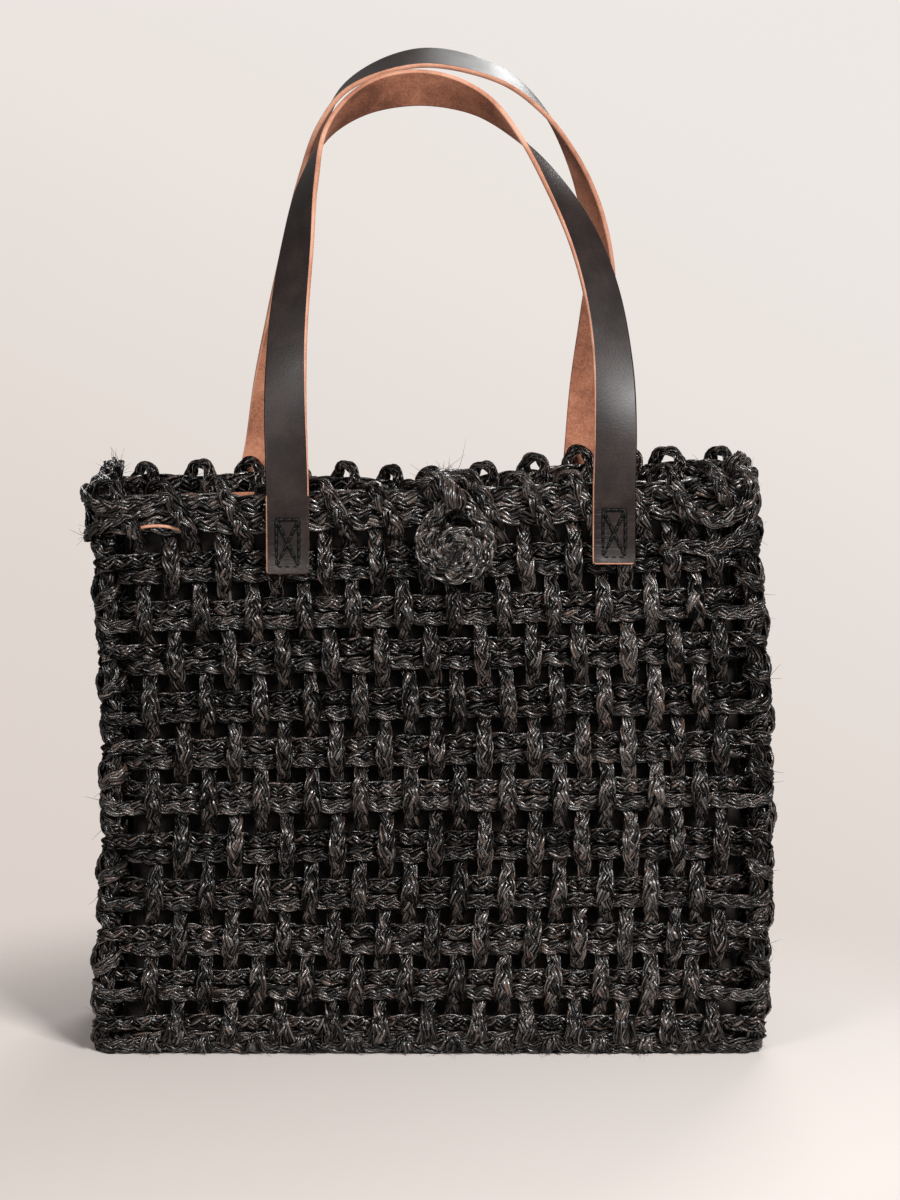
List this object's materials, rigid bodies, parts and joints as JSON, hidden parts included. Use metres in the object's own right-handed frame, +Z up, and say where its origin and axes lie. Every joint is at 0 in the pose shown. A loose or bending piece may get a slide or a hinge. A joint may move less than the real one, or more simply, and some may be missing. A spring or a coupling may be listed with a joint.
{
  "type": "woven grass tote bag",
  "caption": "Open-weave tote of plaited black grass cords with a cloth pouch, two leather handles and a plaited loop that closes round a coiled button.",
  "frame": {"origin": "middle of the bag's footprint, on the ground it stands on", "axes": "+Z up, +X to the wearer's right seen from the front, the front with the button faces -Y"},
  "size_m": [0.3666, 0.1334, 0.5277],
  "materials": {
    "grass_cord": "satin",
    "strap_leather": "satin",
    "facing_leather": "matt",
    "lining_cloth": "matt"
  },
  "bodies": {
    "bag": {"course_01": "grass_cord", "course_02": "grass_cord", "course_03": "grass_cord", "course_04": "grass_cord", "course_05": "grass_cord", "course_06": "grass_cord", "course_07": "grass_cord", "course_08": "grass_cord", "course_09": "grass_cord", "course_10": "grass_cord", "course_11": "grass_cord", "rim_course": "grass_cord", "upright_pair_01": "grass_cord", "upright_pair_02": "grass_cord", "upright_pair_03": "grass_cord", "upright_pair_04": "grass_cord", "upright_pair_05": "grass_cord", "upright_pair_06": "grass_cord", "upright_pair_07": "grass_cord", "upright_pair_08": "grass_cord", "upright_pair_09": "grass_cord", "upright_pair_10": "grass_cord", "upright_pair_11": "grass_cord", "upright_pair_12": "grass_cord", "upright_pair_13": "grass_cord", "side_upright_pair_1": "grass_cord", "side_upright_pair_2": "grass_cord", "side_upright_pair_3": "grass_cord", "side_upright_pair_4": "grass_cord", "front_facing": "facing_leather", "back_facing": "facing_leather", "lining_pouch": "lining_cloth", "front_left_tab": "strap_leather", "front_right_tab": "strap_leather", "back_left_tab": "strap_leather", "back_right_tab": "strap_leather", "closure_button": "grass_cord", "closure_knot": "grass_cord"},
    "front_handle": {"front_handle": "strap_leather"},
    "back_handle": {"back_handle": "strap_leather"},
    "closure_bridge": {"closure_bridge": "grass_cord"},
    "closure_ring": {"closure_ring": "grass_cord"}
  },
  "joints": [
    {"name": "front_handle_swing", "type": "hinge", "parent": "bag", "child": "front_handle", "pos_m": [0, -0.06251, 0.29619], "axis": [1, 0, 0], "range_deg": [0, 150]},
    {"name": "back_handle_swing", "type": "hinge", "parent": "bag", "child": "back_handle", "pos_m": [0, 0.06695, 0.29619], "axis": [-1, 0, 0], "range_deg": [0, 150]},
    {"name": "closure_bridge_flip", "type": "hinge", "parent": "bag", "child": "closure_bridge", "pos_m": [0.013, 0.03092, 0.29704], "axis": [-1, 0, 0], "range_deg": [0, 90]},
    {"name": "closure_ring_bend", "type": "hinge", "parent": "closure_bridge", "child": "closure_ring", "pos_m": [0.0105, -0.06241, 0.30214], "axis": [-1, 0, 0], "range_deg": [0, 108]}
  ],
  "couplings": [
    {"joint": "closure_ring_bend", "follows": "closure_bridge_flip", "ratio": 1.2}
  ]
}
